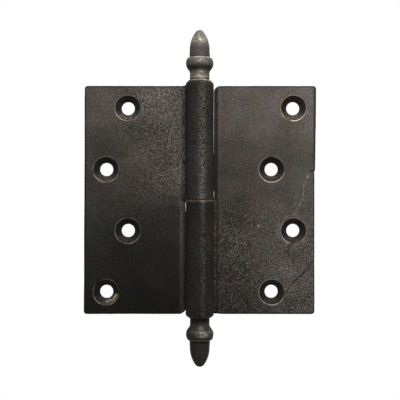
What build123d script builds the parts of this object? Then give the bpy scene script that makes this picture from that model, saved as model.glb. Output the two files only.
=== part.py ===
from build123d import *
import os
from math import hypot, sqrt

# Lift-off butt hinge: two cast leaves, a plain pin fixed in the lower knuckle, and two turned acorn tips.
# The hinge is hung together and opened flat. +Z runs up the pin, and the origin is on the pin's axis,
# in the plane where the two knuckles meet. The countersunk faces look towards -Y.
# All sizes are in millimetres.

# Driving dimensions of a leaf's plate
LEAF_HEIGHT = 114.3
PLATE_THICKNESS = 4.8
CLOSED_GAP = 3.2
EDGE_CHAMFER = 0.35
OUTER_CORNER_ROUND = 1.4
INNER_CORNER_ROUND = 3.2

# From the pin's axis to the plate's outer edge, at the end beside the knuckle and at the free end
UPPER_REACH_AT_KNUCKLE = 57.6
UPPER_REACH_AT_FREE_END = 58.1
LOWER_REACH_AT_KNUCKLE = 57.5
LOWER_REACH_AT_FREE_END = 58.4

# The lower leaf is cracked at its outer edge, which steps out above the crack and flares to its end.
# The crack's path runs inwards from past the edge, as (distance from the axis, height).
CRACK_HEIGHT = 14.4
CRACK_STEP = 0.4
CRACK_STEP_ROUND = 1.5
CRACK_PATH = [(59.0, 15.1), (56.2, 14.6), (55.2, 13.9), (54.2, 12.7), (53.5, 11.7), (52.4, 10.3)]
CRACK_MOUTH = 0.55
CRACK_DEPTH = 1.6

# The knuckle, the hollow along the plate's edge that clears the other knuckle, and the web between
KNUCKLE_RADIUS = 7.0
CLEARING_RADIUS = 9.3
WEB_FRONT_Y = 3.4
FRONT_VALLEY_ROUND = 0.8
WEB_CORNER_ROUND = 0.5
BACK_VALLEY_ROUND = 2.0

# The knuckle's end: how far its side rises past the plate, then its eased corner,
# and the small flat face that the tip sits on, which is this far from where the knuckles meet
UPPER_KNUCKLE_RISE = 0.65
LOWER_KNUCKLE_RISE = 0.0
SHOULDER_RUN = 4.2
END_CORNER_WIDTH = 0.3
END_CORNER_HEIGHT = 0.45
SEAT_RADIUS = 5.15
UPPER_SEAT_HEIGHT = 59.9
LOWER_SEAT_HEIGHT = 58.8

# The play left between the two knuckles where they meet
KNUCKLE_GAP = 0.2

# Countersunk screw holes, staggered in two columns
HOLE_RADIUS = 3.3
COUNTERSINK_RADIUS = 6.3
INNER_COLUMN = 36.0
OUTER_COLUMN = 46.9
HOLE_PITCH = 30.7
HOLES_PER_LEAF = 4

# The pin and its running clearance in the knuckles
PIN_RADIUS = 2.75
PIN_EXPOSED = 42.0
PIN_BURIED = 44.0
PIN_NOSE_ROUND = 1.1
PIN_TAIL_CHAMFER = 0.5
RUNNING_CLEARANCE = 0.05
BORE_END_ROOM = 1.0
BORE_MOUTH_CHAMFER = 0.3

# The turned tip: a shank in the knuckle's end, a neck, a bulb and an acorn, with heights from its seat
SHANK_RADIUS = 3.0
SHANK_LENGTH = 9.0
SHANK_EASE = 0.02
NECK_RADIUS = 4.92
COVE_RADIUS = 2.5
BULB_RADIUS = 6.88
BULB_ARC = 4.8
BULB_HEIGHT = 8.05
BULB_TOP = 10.75
ACORN_RADIUS = 5.03
ACORN_BASE = 11.35
ACORN_SHOULDER = 14.75
OGIVE_ARC = 14.5
NOSE_ARC = 2.4

# Straight steps that stand for the turned arcs, so that they mesh lightly
COVE_STEPS = 2
BULB_STEPS = 5
OGIVE_STEPS = 4
NOSE_STEPS = 2
PIN_NOSE_STEPS = 2

# Sizes worked out from those above
HALF_HEIGHT = LEAF_HEIGHT / 2
FRONT_Y = CLOSED_GAP / 2
BACK_Y = FRONT_Y + PLATE_THICKNESS
MEETING_Z = KNUCKLE_GAP / 2
CREASE_X = sqrt(CLEARING_RADIUS**2 - FRONT_Y**2)
BACK_CORNER_X = sqrt(CLEARING_RADIUS**2 - BACK_Y**2)
WEB_CORNER_X = sqrt(CLEARING_RADIUS**2 - WEB_FRONT_Y**2)
FRONT_VALLEY_X = sqrt(KNUCKLE_RADIUS**2 - WEB_FRONT_Y**2)
BACK_VALLEY_X = sqrt(KNUCKLE_RADIUS**2 - BACK_Y**2)
BORE_RADIUS = PIN_RADIUS + RUNNING_CLEARANCE

# How far a cutting tool reaches past the face that it cuts
PAST = 5.0


def turned(profile):
    """A solid of revolution about Z, from lines that close a half section of radius and height."""
    return revolve(Plane.XZ * make_face(profile), Axis.Z)


def stepped(arc, steps):
    """Straight steps from one end of an arc to the other."""
    return Polyline(*(arc @ (step / steps) for step in range(steps + 1)))


def round_corner(sketch, point, radius):
    """The sketch with its corner at a point rounded."""
    corner = sketch.vertices().sort_by_distance((point[0], point[1], 0))[0]
    return fillet(corner, radius)


def plate_section():
    """The plate seen from above: a flat bar, hollowed along its inner edge round the pin's axis."""
    length = UPPER_REACH_AT_FREE_END + PAST
    bar = Pos(-length / 2, (FRONT_Y + BACK_Y) / 2) * Rectangle(length, PLATE_THICKNESS)
    return bar - Circle(CLEARING_RADIUS)


def knuckle_section():
    """The plate, web and knuckle seen from above, with rounded valleys where they meet."""
    web_thickness = BACK_Y - WEB_FRONT_Y
    web = Pos(-CLEARING_RADIUS / 2, BACK_Y - web_thickness / 2) * Rectangle(CLEARING_RADIUS, web_thickness)
    section = plate_section() + web + Circle(KNUCKLE_RADIUS)
    section = round_corner(section, (-FRONT_VALLEY_X, WEB_FRONT_Y), FRONT_VALLEY_ROUND)
    section = round_corner(section, (-WEB_CORNER_X, WEB_FRONT_Y), WEB_CORNER_ROUND)
    return round_corner(section, (-BACK_VALLEY_X, BACK_Y), BACK_VALLEY_ROUND)


def shoulder(rise):
    """The small curve that leads from the plate's end up to the knuckle's end, seen from the front."""
    start = (-KNUCKLE_RADIUS - SHOULDER_RUN, HALF_HEIGHT)
    end = (-KNUCKLE_RADIUS, HALF_HEIGHT + rise)
    curve = TangentArc(start, end, tangent=(1, 0))
    rest = Polyline(end, (0, HALF_HEIGHT + rise), (0, HALF_HEIGHT), start)
    return make_face(curve + rest)


def leaf_outline(reach_at_knuckle, reach_at_free_end, crack_step, rise):
    """The plate and half its knuckle seen from the front, with the knuckle at the top right."""
    top_outer = (-reach_at_knuckle, HALF_HEIGHT)
    bottom_outer = (-reach_at_free_end, -HALF_HEIGHT)
    bottom_inner = (-BACK_CORNER_X, -HALF_HEIGHT)
    crack = []
    if crack_step:
        crack.append((-reach_at_knuckle, -CRACK_HEIGHT))
        crack.append((-reach_at_knuckle - crack_step, -CRACK_HEIGHT - 2 * crack_step))
    knuckle_corners = [(-BACK_CORNER_X, 0), (0, 0), (0, HALF_HEIGHT)]
    outline = make_face(Polyline(top_outer, *crack, bottom_outer, bottom_inner, *knuckle_corners, close=True))
    outline = round_corner(outline, top_outer, OUTER_CORNER_ROUND)
    outline = round_corner(outline, bottom_outer, OUTER_CORNER_ROUND)
    outline = round_corner(outline, bottom_inner, INNER_CORNER_ROUND)
    for corner in crack:
        outline = round_corner(outline, corner, CRACK_STEP_ROUND)
    if rise:
        outline += shoulder(rise)
    return outline


def soften(plate):
    """The plate with the rim of its front and back faces chamfered, apart from the hollowed edge."""
    front_rim = plate.edges().filter_by_position(Axis.Y, FRONT_Y, FRONT_Y)
    back_rim = plate.edges().filter_by_position(Axis.Y, BACK_Y, BACK_Y)
    rim = [edge for edge in front_rim + back_rim if edge.bounding_box().min.X < -CREASE_X - EDGE_CHAMFER]
    return chamfer(rim, EDGE_CHAMFER)


def knuckle(rise, seat_height):
    """The knuckle's barrel, chamfered at its outer end down to the face that the tip sits on."""
    side_end = HALF_HEIGHT + rise
    return turned(
        Polyline(
            (0, MEETING_Z),
            (KNUCKLE_RADIUS, MEETING_Z),
            (KNUCKLE_RADIUS, side_end),
            (KNUCKLE_RADIUS - END_CORNER_WIDTH, side_end + END_CORNER_HEIGHT),
            (SEAT_RADIUS, seat_height),
            (0, seat_height),
            close=True,
        )
    )


def screw_hole():
    """Cutter for one countersunk hole, with the plate's front face at height 0 and the cut running up."""
    depth = COUNTERSINK_RADIUS - HOLE_RADIUS
    through = PLATE_THICKNESS + PAST
    return turned(
        Polyline(
            (0, -PAST),
            (COUNTERSINK_RADIUS, -PAST),
            (COUNTERSINK_RADIUS, 0),
            (HOLE_RADIUS, depth),
            (HOLE_RADIUS, through),
            (0, through),
            close=True,
        )
    )


def screw_holes():
    """The leaf's screw holes: the one nearest the knuckle's end is in the inner column."""
    cutter = screw_hole()
    holes = []
    for row in range(HOLES_PER_LEAF):
        height = HOLE_PITCH * ((HOLES_PER_LEAF - 1) / 2 - row)
        column = OUTER_COLUMN if row % 2 else INNER_COLUMN
        holes.append(Plane((-column, FRONT_Y, height), z_dir=(0, 1, 0)) * cutter)
    return holes


def bore(depth):
    """Cutter for the knuckle's blind bore, opened a little at its mouth."""
    mouth_radius = BORE_RADIUS + BORE_MOUTH_CHAMFER
    return turned(
        Polyline(
            (0, -PAST),
            (mouth_radius, -PAST),
            (mouth_radius, MEETING_Z),
            (BORE_RADIUS, MEETING_Z + BORE_MOUTH_CHAMFER),
            (BORE_RADIUS, depth),
            (0, depth),
            close=True,
        )
    )


def crack():
    """Cutter for the crack in the hung lower leaf: widest at the plate's edge and closing to nothing."""
    last = len(CRACK_PATH) - 1
    upper_lip = []
    lower_lip = []
    for index, (x, height) in enumerate(CRACK_PATH):
        half_width = CRACK_MOUTH / 2 * (1 - index / last)
        upper_lip.append((x, height + half_width))
        lower_lip.append((x, height - half_width))
    lips = make_face(Polyline(*upper_lip, *reversed(lower_lip[:-1]), close=True))
    return extrude(Pos(0, FRONT_Y + CRACK_DEPTH, 0) * Plane.XZ * lips, CRACK_DEPTH + PAST)


def leaf(reach_at_knuckle, reach_at_free_end, crack_step, rise, seat_height, bore_depth):
    """A leaf with its plate towards -X and its knuckle in the upper half."""
    outline = Plane.XZ * leaf_outline(reach_at_knuckle, reach_at_free_end, crack_step, rise)
    silhouette = extrude(outline, KNUCKLE_RADIUS + PAST, both=True)
    free_half = extrude(Pos(0, 0, -HALF_HEIGHT) * plate_section(), HALF_HEIGHT + MEETING_Z)
    knuckle_half = extrude(Pos(0, 0, MEETING_Z) * knuckle_section(), HALF_HEIGHT + rise - MEETING_Z)
    plate = soften((free_half + knuckle_half) & silhouette)
    shank_hole = Pos(0, 0, seat_height) * Cylinder(SHANK_RADIUS, 2 * (SHANK_LENGTH + BORE_END_ROOM))
    return plate + knuckle(rise, seat_height) - screw_holes() - bore(bore_depth) - shank_hole


def finial():
    """The turned acorn tip, seated at height 0 with its shank below."""
    shank = SHANK_RADIUS - SHANK_EASE
    bulb_x = BULB_RADIUS - BULB_ARC
    cove_x = NECK_RADIUS + COVE_RADIUS
    reach = BULB_ARC + COVE_RADIUS
    neck_end = BULB_HEIGHT - sqrt(reach**2 - (cove_x - bulb_x) ** 2)
    cove_end = (
        bulb_x + BULB_ARC / reach * (cove_x - bulb_x),
        BULB_HEIGHT - BULB_ARC / reach * (BULB_HEIGHT - neck_end),
    )
    bulb_end = (bulb_x + sqrt(BULB_ARC**2 - (BULB_TOP - BULB_HEIGHT) ** 2), BULB_TOP)
    ogive_x = ACORN_RADIUS - OGIVE_ARC
    nose_z = ACORN_SHOULDER + sqrt((OGIVE_ARC - NOSE_ARC) ** 2 - ogive_x**2)
    to_nose = hypot(-ogive_x, nose_z - ACORN_SHOULDER)
    ogive_end = (
        ogive_x - OGIVE_ARC * ogive_x / to_nose,
        ACORN_SHOULDER + OGIVE_ARC * (nose_z - ACORN_SHOULDER) / to_nose,
    )
    foot = Polyline(
        (0, -SHANK_LENGTH),
        (shank, -SHANK_LENGTH),
        (shank, 0),
        (NECK_RADIUS, 0),
        (NECK_RADIUS, neck_end),
    )
    cove = stepped(TangentArc((NECK_RADIUS, neck_end), cove_end, tangent=(0, 1)), COVE_STEPS)
    bulb = stepped(ThreePointArc(cove_end, (BULB_RADIUS, BULB_HEIGHT), bulb_end), BULB_STEPS)
    side = Polyline(bulb_end, (ACORN_RADIUS, ACORN_BASE), (ACORN_RADIUS, ACORN_SHOULDER))
    ogive = stepped(TangentArc((ACORN_RADIUS, ACORN_SHOULDER), ogive_end, tangent=(0, 1)), OGIVE_STEPS)
    nose_top = (0, nose_z + NOSE_ARC)
    nose = stepped(TangentArc(nose_top, ogive_end, tangent=(1, 0)), NOSE_STEPS)
    axis = Line(nose_top, (0, -SHANK_LENGTH))
    return turned(foot + cove + bulb + side + ogive + nose + axis)


def hinge_pin():
    """The plain round pin, rounded at its nose and chamfered at its tail."""
    nose_centre = (PIN_RADIUS - PIN_NOSE_ROUND, PIN_EXPOSED - PIN_NOSE_ROUND)
    side = Polyline(
        (0, -PIN_BURIED),
        (PIN_RADIUS - PIN_TAIL_CHAMFER, -PIN_BURIED),
        (PIN_RADIUS, -PIN_BURIED + PIN_TAIL_CHAMFER),
        (PIN_RADIUS, nose_centre[1]),
    )
    nose = stepped(CenterArc(nose_centre, PIN_NOSE_ROUND, 0, 90), PIN_NOSE_STEPS)
    axis = Polyline((nose_centre[0], PIN_EXPOSED), (0, PIN_EXPOSED), (0, -PIN_BURIED))
    return turned(side + nose + axis)


def upper_leaf():
    """The leaf that lifts off, with its knuckle in the upper half."""
    return leaf(
        UPPER_REACH_AT_KNUCKLE,
        UPPER_REACH_AT_FREE_END,
        0,
        UPPER_KNUCKLE_RISE,
        UPPER_SEAT_HEIGHT,
        PIN_EXPOSED + BORE_END_ROOM,
    )


def lower_leaf():
    """The leaf that carries the pin: the same casting turned half a turn, cracked at its outer edge."""
    casting = leaf(
        LOWER_REACH_AT_KNUCKLE,
        LOWER_REACH_AT_FREE_END,
        CRACK_STEP,
        LOWER_KNUCKLE_RISE,
        LOWER_SEAT_HEIGHT,
        PIN_BURIED + BORE_END_ROOM,
    )
    return Rot(0, 180, 0) * casting - crack()


parts = {
    "upper_leaf": upper_leaf(),
    "lower_leaf": lower_leaf(),
    "hinge_pin": hinge_pin(),
    "upper_finial": Pos(0, 0, UPPER_SEAT_HEIGHT) * finial(),
    "lower_finial": Rot(0, 180, 0) * Pos(0, 0, LOWER_SEAT_HEIGHT) * finial(),
}

os.makedirs("parts", exist_ok=True)
for name, part in parts.items():
    export_step(part, f"parts/{name}.step")
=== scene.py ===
"""Lift-off butt hinge in blackened cast iron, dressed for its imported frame."""

import math

import bmesh
import bpy
import numpy as np
from bpy.props import FloatProperty, FloatVectorProperty, IntProperty, PointerProperty
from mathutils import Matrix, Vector, noise


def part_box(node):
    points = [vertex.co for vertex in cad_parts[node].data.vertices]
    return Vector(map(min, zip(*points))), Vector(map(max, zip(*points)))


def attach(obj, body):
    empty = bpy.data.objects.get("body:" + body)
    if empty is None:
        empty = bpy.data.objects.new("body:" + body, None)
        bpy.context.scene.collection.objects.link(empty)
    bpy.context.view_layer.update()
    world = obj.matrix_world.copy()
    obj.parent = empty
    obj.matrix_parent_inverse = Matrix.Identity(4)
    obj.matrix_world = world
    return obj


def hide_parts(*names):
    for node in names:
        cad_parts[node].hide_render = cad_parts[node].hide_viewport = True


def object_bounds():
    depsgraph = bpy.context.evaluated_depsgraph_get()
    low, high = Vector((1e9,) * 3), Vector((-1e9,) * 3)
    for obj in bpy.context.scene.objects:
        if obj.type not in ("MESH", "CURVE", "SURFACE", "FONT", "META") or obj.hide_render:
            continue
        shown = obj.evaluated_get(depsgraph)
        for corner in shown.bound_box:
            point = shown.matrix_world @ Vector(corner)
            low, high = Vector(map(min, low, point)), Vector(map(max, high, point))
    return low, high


bl_info = {
    "name": "Lift-Off Butt Hinge",
    "version": (1, 0, 0),
    "blender": (4, 5, 0),
    "location": "3D View > Sidebar > Butt Hinge",
    "description": "Casts the two leaves, turns the pin and the acorn tips, and sets the stage",
    "category": "Object",
}

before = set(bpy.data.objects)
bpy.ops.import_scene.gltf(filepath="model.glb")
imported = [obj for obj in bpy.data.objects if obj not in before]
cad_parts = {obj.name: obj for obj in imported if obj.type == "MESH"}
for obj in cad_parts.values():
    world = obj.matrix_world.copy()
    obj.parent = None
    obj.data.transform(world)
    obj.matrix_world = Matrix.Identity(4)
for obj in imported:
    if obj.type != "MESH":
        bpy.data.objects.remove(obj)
CAD_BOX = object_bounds()

MM = 0.001
# Points nearer than this are one
TOUCHING = 0.001 * MM

# Places shared by the forms and the finishes, taken from the frame where it holds them
LEAF_LOW, LEAF_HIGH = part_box("upper_leaf")
PLATE_TOP = -LEAF_LOW.z
BACK_Y = 6.4 * MM
FRONT_Y = 1.6 * MM
KNUCKLE_RADIUS = LEAF_HIGH.x
CREASE_X = 9.16 * MM
SEAT_RADIUS = 5.15 * MM
BORE_RADIUS = 2.8 * MM
MEETING_DISH = 0.14 * MM
MEETING_GAP = 0.015 * MM
PIN_PLAY = 0.04 * MM
HOLE_RADIUS = 3.3 * MM
COUNTERSINK_RADIUS = 6.3 * MM
INNER_COLUMN = 36.0 * MM
OUTER_COLUMN = 46.9 * MM
HOLE_PITCH = 30.7 * MM
HOLE_ROWS = 4
LEAF_WIDTH = 57.8 * MM

# The depths between which the finish of a leaf's front ends, and those between which its relief sets in
FRONT_END = (4.8 * MM, 5.2 * MM)
FRONT_RELIEF = (3.0 * MM, 2.2 * MM)
# The heights past which a knuckle's end shows its seat
UPPER_SEAT_ZONE = 58.6 * MM
LOWER_SEAT_ZONE = -58 * MM

# How bright the skin is down each leaf, as height in mm and share, near the knuckle and at the outer edge
# These tones are partly painted light: each leaf is painted lighter near its top and the right-hand leaf
# lighter overall, where the light falls, and darker towards the bottom.
UPPER_INNER_TONE = [(-57, 0.13), (-45, 0.15), (-25, 0.20), (-4, 0.27), (10, 0.72), (35, 0.68), (50, 0.84)]
UPPER_OUTER_TONE = [(-57, 0.13), (-31, 0.17), (3, 0.35), (30, 0.50), (50, 0.64)]
LOWER_INNER_TONE = [(-57, 0.34), (-45, 0.37), (-25, 0.52), (15, 0.48), (35, 0.66), (50, 0.64)]
LOWER_OUTER_TONE = [(-57, 0.80), (-45, 0.80), (-20, 0.72), (5, 0.64), (35, 0.80), (50, 0.82)]

# Painted light on each countersink's lower wall, which faces up to the light: how bright it is painted, in
# the order of hole_centres
UPPER_WALL_LIGHT = (0.80, 0.62, 0.20, 0.34)
LOWER_WALL_LIGHT = (0.24, 0.32, 0.40, 0.78)
# A tan streak in the upper leaf's lowest countersink, and a speck of bare iron on the lower leaf
TAN_STREAK = [(-46.4, -51.1), (-45.4, -50.7), (-43.6, -49.7), (-41.8, -47.8)]
BRIGHT_SPECK = [(29.3, -12.9), (29.5, -12.9)]

# Light shows between a leaf's hollow and the other knuckle. The hollow's back edge moves in by GAP_CLOSED,
# and out by the distances listed at these heights, all in mm.
GAP_CLOSED = 0.5
UPPER_GAP = [(-56, 0.0), (-42, 0.20), (-28, 0.24), (-6, 0.24), (-4, 0.40), (-1.5, 0.40), (0, 0.0)]
LOWER_GAP = [
    *[(0, 0.0), (1.5, 0.42), (4, 0.42), (5, 0.15), (16, 0.2)],
    *[(26, 0.3), (35, 0.34), (46, 0.34), (52, 0.44)],
]

# Grains a metre
LEAF_GRAINS, TIP_GRAINS, PIN_GRAINS = 1750.0, 1900.0, 1300.0
# The old oxide skin reflects little
OXIDE_REFLECTION = 0.08
EDGE_TINT = (0.2, 0.2, 0.2, 1.0)

# The skin turns a little olive in some places and a little purple in others
OLIVE_TINT = (0.97, 1.0, 0.95)
PURPLE_TINT = (1.05, 0.975, 1.03)
PIN_RUST = (0.12, 0.052, 0.030)

# The crack in the lower leaf, open at the plate's edge, and the fine line that runs on, as x and z in mm
CRACK_PATH = [(59.0, 15.1), (56.2, 14.6), (55.2, 13.9)]
CRACK_BRIGHT = [(54.9, 13.3), (53.2, 10.2)]
CRACK_TAIL = [
    *[(55.2, 13.9), (54.0, 11.8), (53.2, 9.8), (52.1, 7.6), (52.0, 4.0)],
    *[(51.6, 1.2), (50.3, -1.7), (48.2, -5.6), (47.1, -7.4)],
]
# A short crack that runs down from the leaf's third countersink
HOLE_CRACK = [(45.7, -21.6), (44.6, -23.2), (44.2, -25.0), (44.1, -27.6)]
# A long slanting scratch below it, which is deepest in the middle of its run
SCRATCH_DEEP = [(52.8, -36.0), (50.4, -38.1), (46.6, -41.2)]
SCRATCH_PATH = [(56.8, -30.4), (54.8, -33.2), *SCRATCH_DEEP, (43.6, -45.4), (42.4, -46.6)]
# Each line's path, width and depth in mm
GROOVES = [
    (CRACK_PATH, 0.25, 0.4),
    (CRACK_TAIL, 0.35, 0.06),
    (SCRATCH_DEEP, 0.4, 0.2),
    (SCRATCH_PATH, 0.4, 0.1),
    (HOLE_CRACK, 0.4, 0.1),
]
# How dark each of them is drawn, as path, width in mm and strength
DARK_LINES = [
    (CRACK_PATH, 0.34, 0.95),
    (SCRATCH_DEEP, 0.42, 1.0),
    (SCRATCH_PATH, 0.38, 0.65),
    (HOLE_CRACK, 0.38, 0.75),
]
# The pitted patch beside the lower knuckle, as its middle and its reach in x and z, in mm
PITTED_PLACE = (13.8, -30.0)
PITTED_REACH = (5.0, 15.0)

# Rubbed places and painted highlights on the tips, as height and its reach in mm, turn from the front and
# its reach in radians, strength, and how broken up they are
UPPER_TIP_WEAR_AND_HIGHLIGHTS = [
    # Upper tip: the nose, rubbed bare and painted with a highlight; the neck's front, rubbed; painted
    # highlights on the neck and the bulb; a painted reflection on the neck's left side
    (19.8, 1.4, -0.05, 0.5, 0.82, 0.0),
    (1.2, 0.9, 0.1, 0.8, 0.85, 0.0),
    (3.3, 0.9, 0.13, 0.22, 0.8, 0.0),
    (8.6, 0.9, 0.1, 0.4, 0.45, 0.0),
    (1.6, 1.6, -1.25, 0.35, 0.4, 0.0),
]
LOWER_TIP_WEAR_AND_HIGHLIGHTS = [
    # Lower tip: painted highlights on the neck, the bulb and its top, and down the acorn's right edge
    (4.4, 1.0, -0.12, 0.2, 0.5, 0.0),
    (7.2, 1.3, -0.25, 0.35, 1.4, 0.4),
    (6.3, 0.9, -0.4, 1.1, 0.5, 1.0),
    (13.5, 2.5, -1.35, 0.2, 0.5, 0.0),
]

WARM_WHITE = (1.0, 0.985, 0.96)
COOL_WHITE = (0.98, 0.99, 1.0)
# Each lamp's name, place, the point it looks at, size in metres and colour
LAMPS = [
    ("Key lamp", (0.045, -0.2, 0.22), (0.0, 0.0, 0.02), 0.1, WARM_WHITE),
    ("Fill lamp", (-0.4, -0.3, 0.1), (0.0, 0.0, 0.0), 0.4, COOL_WHITE),
    ("Back lamp", (0.1, 0.35, 0.3), (0.0, 0.0, 0.0), 0.3, WARM_WHITE),
]


def length_setting(name, description, default):
    """A length that a user can change."""
    return FloatProperty(name=name, description=description, default=default, unit="LENGTH")


def colour_setting(name, description, default):
    """A colour that a user can change."""
    return FloatVectorProperty(name=name, description=description, default=default, subtype="COLOR")


class CastingForm(bpy.types.PropertyGroup):
    """How the two leaves are cast."""

    skin: length_setting("Skin cell", "Size of the cells that the casting's skin is drawn in", 0.43 * MM)
    softening: IntProperty(name="Softening", description="Times that the edges are eased", default=3)
    warp: length_setting("Warp", "Depth of the long hollows that the mould leaves", 0.09 * MM)
    grain: length_setting("Grain depth", "Depth of the sand's grain", 0.045 * MM)


class TurnedForm(bpy.types.PropertyGroup):
    """How the tips and the pin are turned."""

    segments: IntProperty(name="Segments", description="Steps round a turned piece", default=112)
    step: length_setting("Step", "Distance between the rings along a turned piece", 0.22 * MM)
    wobble: length_setting("Wobble", "How far wear has taken a turned piece out of round", 0.05 * MM)


class IronFinish(bpy.types.PropertyGroup):
    """The colours of the iron and the steel."""

    upper_iron: colour_setting(
        "Upper iron", "Blackened skin of the leaf that lifts off", (0.098, 0.090, 0.080)
    )
    lower_iron: colour_setting(
        "Lower iron", "Blackened skin of the leaf that carries the pin", (0.099, 0.091, 0.083)
    )
    tip_iron: colour_setting("Tip iron", "Purplish brown skin of the upper tip", (0.098, 0.087, 0.081))
    black_skin: colour_setting(
        "Black skin", "Tint that the skin takes where it is blackest", (0.085, 0.086, 0.080)
    )
    bare_iron: colour_setting(
        "Bare iron", "Metal that shows where the skin has rubbed off", (0.43, 0.39, 0.33)
    )
    tip_bare: colour_setting(
        "Bare tip iron", "Greyer metal that shows where the tips are rubbed", (0.43, 0.40, 0.35)
    )
    tan_iron: colour_setting("Tan iron", "Bare metal with a film of rust", (0.58, 0.43, 0.26))
    rust: colour_setting("Rust", "Thin brown rust", (0.120, 0.062, 0.042))
    # This dark colour paints both dirt and shade: the painted shade in hollows, holes, edges and joints
    dark_shade_and_dirt: colour_setting("Grime", "Old dirt and oil in the hollows", (0.010, 0.009, 0.008))
    pin_steel: colour_setting("Pin steel", "The pin's browned steel", (0.060, 0.036, 0.025))


class StageSettings(bpy.types.PropertyGroup):
    """The floor, the lamps and the camera."""

    camera_distance: length_setting("Camera distance", "From the camera to the pin's axis", 0.42)
    view_width: length_setting("View width", "Width that the picture takes in at the plates", 0.2)
    floor_drop: length_setting("Floor drop", "From the pin's middle down to the floor", 0.14)
    key_power: FloatProperty(name="Key lamp", description="Power of the main lamp in watts", default=1.05)
    fill_power: FloatProperty(name="Fill lamp", description="Power of the side lamp in watts", default=0.06)
    room_light: FloatProperty(name="Room light", description="Strength of the room's light", default=0.17)


def rise(values, low, high):
    """0 below low, 1 above high and a smooth rise between, for an array."""
    share = np.clip((values - low) / (high - low), 0.0, 1.0)
    return share * share * (3.0 - 2.0 * share)


def new_piece(name, mesh):
    """A mesh object of that name in the scene."""
    piece = bpy.data.objects.new(name, mesh)
    bpy.context.scene.collection.objects.link(piece)
    return piece


def vertex_rows(mesh, field):
    """The mesh's vertices, by "co", or their normals, by "normal", as an array of rows."""
    flat = np.empty(len(mesh.vertices) * 3)
    mesh.vertices.foreach_get(field, flat)
    return flat.reshape(-1, 3)


def points_of(mesh):
    """The mesh's vertices as an array of rows."""
    return vertex_rows(mesh, "co")


def move_points(mesh, points):
    """Sets the mesh's vertices from an array of rows."""
    mesh.vertices.foreach_set("co", points.astype(np.float32).ravel())
    mesh.update()


def store(mesh, name, values):
    """Keeps one number a vertex on the mesh, for its material to read."""
    layer = mesh.attributes.new(name, "FLOAT", "POINT")
    layer.data.foreach_set("value", np.asarray(values, np.float32))


def smooth_shade(mesh):
    """Shades every face smoothly."""
    mesh.polygons.foreach_set("use_smooth", np.ones(len(mesh.polygons), bool))


def unevenness(points, size, seed):
    """Soft noise between about -1 and 1 at each point, with features of that size."""
    shift = Vector((seed * 7.3, seed * 3.1, seed * 5.7))
    return np.array([noise.noise(Vector(point) / size + shift) for point in points])


def neighbour_mean(mesh, values):
    """At each vertex, the mean of the values at the vertices it shares an edge with."""
    ends = np.empty(len(mesh.edges) * 2, np.int64)
    mesh.edges.foreach_get("vertices", ends)
    ends = ends.reshape(-1, 2)
    total = np.zeros_like(values)
    np.add.at(total, ends[:, 0], values[ends[:, 1]])
    np.add.at(total, ends[:, 1], values[ends[:, 0]])
    count = np.bincount(ends.ravel(), minlength=len(values)).astype(float)
    count = np.maximum(count, 1.0)
    return total / (count if values.ndim == 1 else count[:, None])


def standing_out(mesh):
    """How far each vertex stands out of its surroundings, in metres, and below 0 where it lies in."""
    points = points_of(mesh)
    means = points
    for _ in range(3):
        means = neighbour_mean(mesh, means)
    stand = ((points - means) * vertex_rows(mesh, "normal")).sum(axis=1)
    for _ in range(2):
        stand = (stand + neighbour_mean(mesh, stand)) / 2
    return stand


def bell(values, centre, width):
    """1 at the centre, falling off smoothly to both sides."""
    return np.exp(-(((values - centre) / width) ** 2))


def hole_centres(side):
    """The screw holes of a leaf, as x and z. Side is -1 for the upper leaf and 1 for the lower."""
    centres = []
    for row in range(HOLE_ROWS):
        height = HOLE_PITCH * ((HOLE_ROWS - 1) / 2 - row)
        column = OUTER_COLUMN if row % 2 else INNER_COLUMN
        centres.append((side * column, -side * height))
    return centres


def leaf_skin(node, name, cell):
    """The leaf's solid drawn again as an even skin of small cells."""
    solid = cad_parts[node].data.copy()
    shell = bmesh.new()
    shell.from_mesh(solid)
    bmesh.ops.remove_doubles(shell, verts=shell.verts, dist=TOUCHING)
    shell.to_mesh(solid)
    shell.free()
    draft = new_piece(name + "_draft", solid)
    remesh = draft.modifiers.new("Skin", "REMESH")
    remesh.mode = "VOXEL"
    remesh.voxel_size = cell
    graph = bpy.context.evaluated_depsgraph_get()
    skin = bpy.data.meshes.new_from_object(draft.evaluated_get(graph))
    bpy.data.objects.remove(draft)
    bpy.data.meshes.remove(solid)
    return skin


def away_from_fits(points, side):
    """1 where the casting's skin is free to be uneven, and less at the bore, the seats and the back."""
    across, depth, up = points.T
    radius = np.hypot(across, depth)
    height = -side * up
    bore = rise(radius, KNUCKLE_RADIUS - 1.6 * MM, KNUCKLE_RADIUS - 0.5 * MM)
    knuckle = radius < CREASE_X
    meeting = np.where(knuckle, rise(height, 0.3 * MM, 1.2 * MM), 1.0)
    back = 1.0 - 0.85 * rise(depth, BACK_Y - 0.6 * MM, BACK_Y - 0.2 * MM)
    free = np.minimum(np.where(knuckle, bore, 1.0), meeting) * back
    for x, z in hole_centres(side):
        reach = np.hypot(across - x, up - z)
        free *= 0.15 + 0.85 * rise(reach, COUNTERSINK_RADIUS - 0.4 * MM, COUNTERSINK_RADIUS + 0.6 * MM)
    return free


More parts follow.
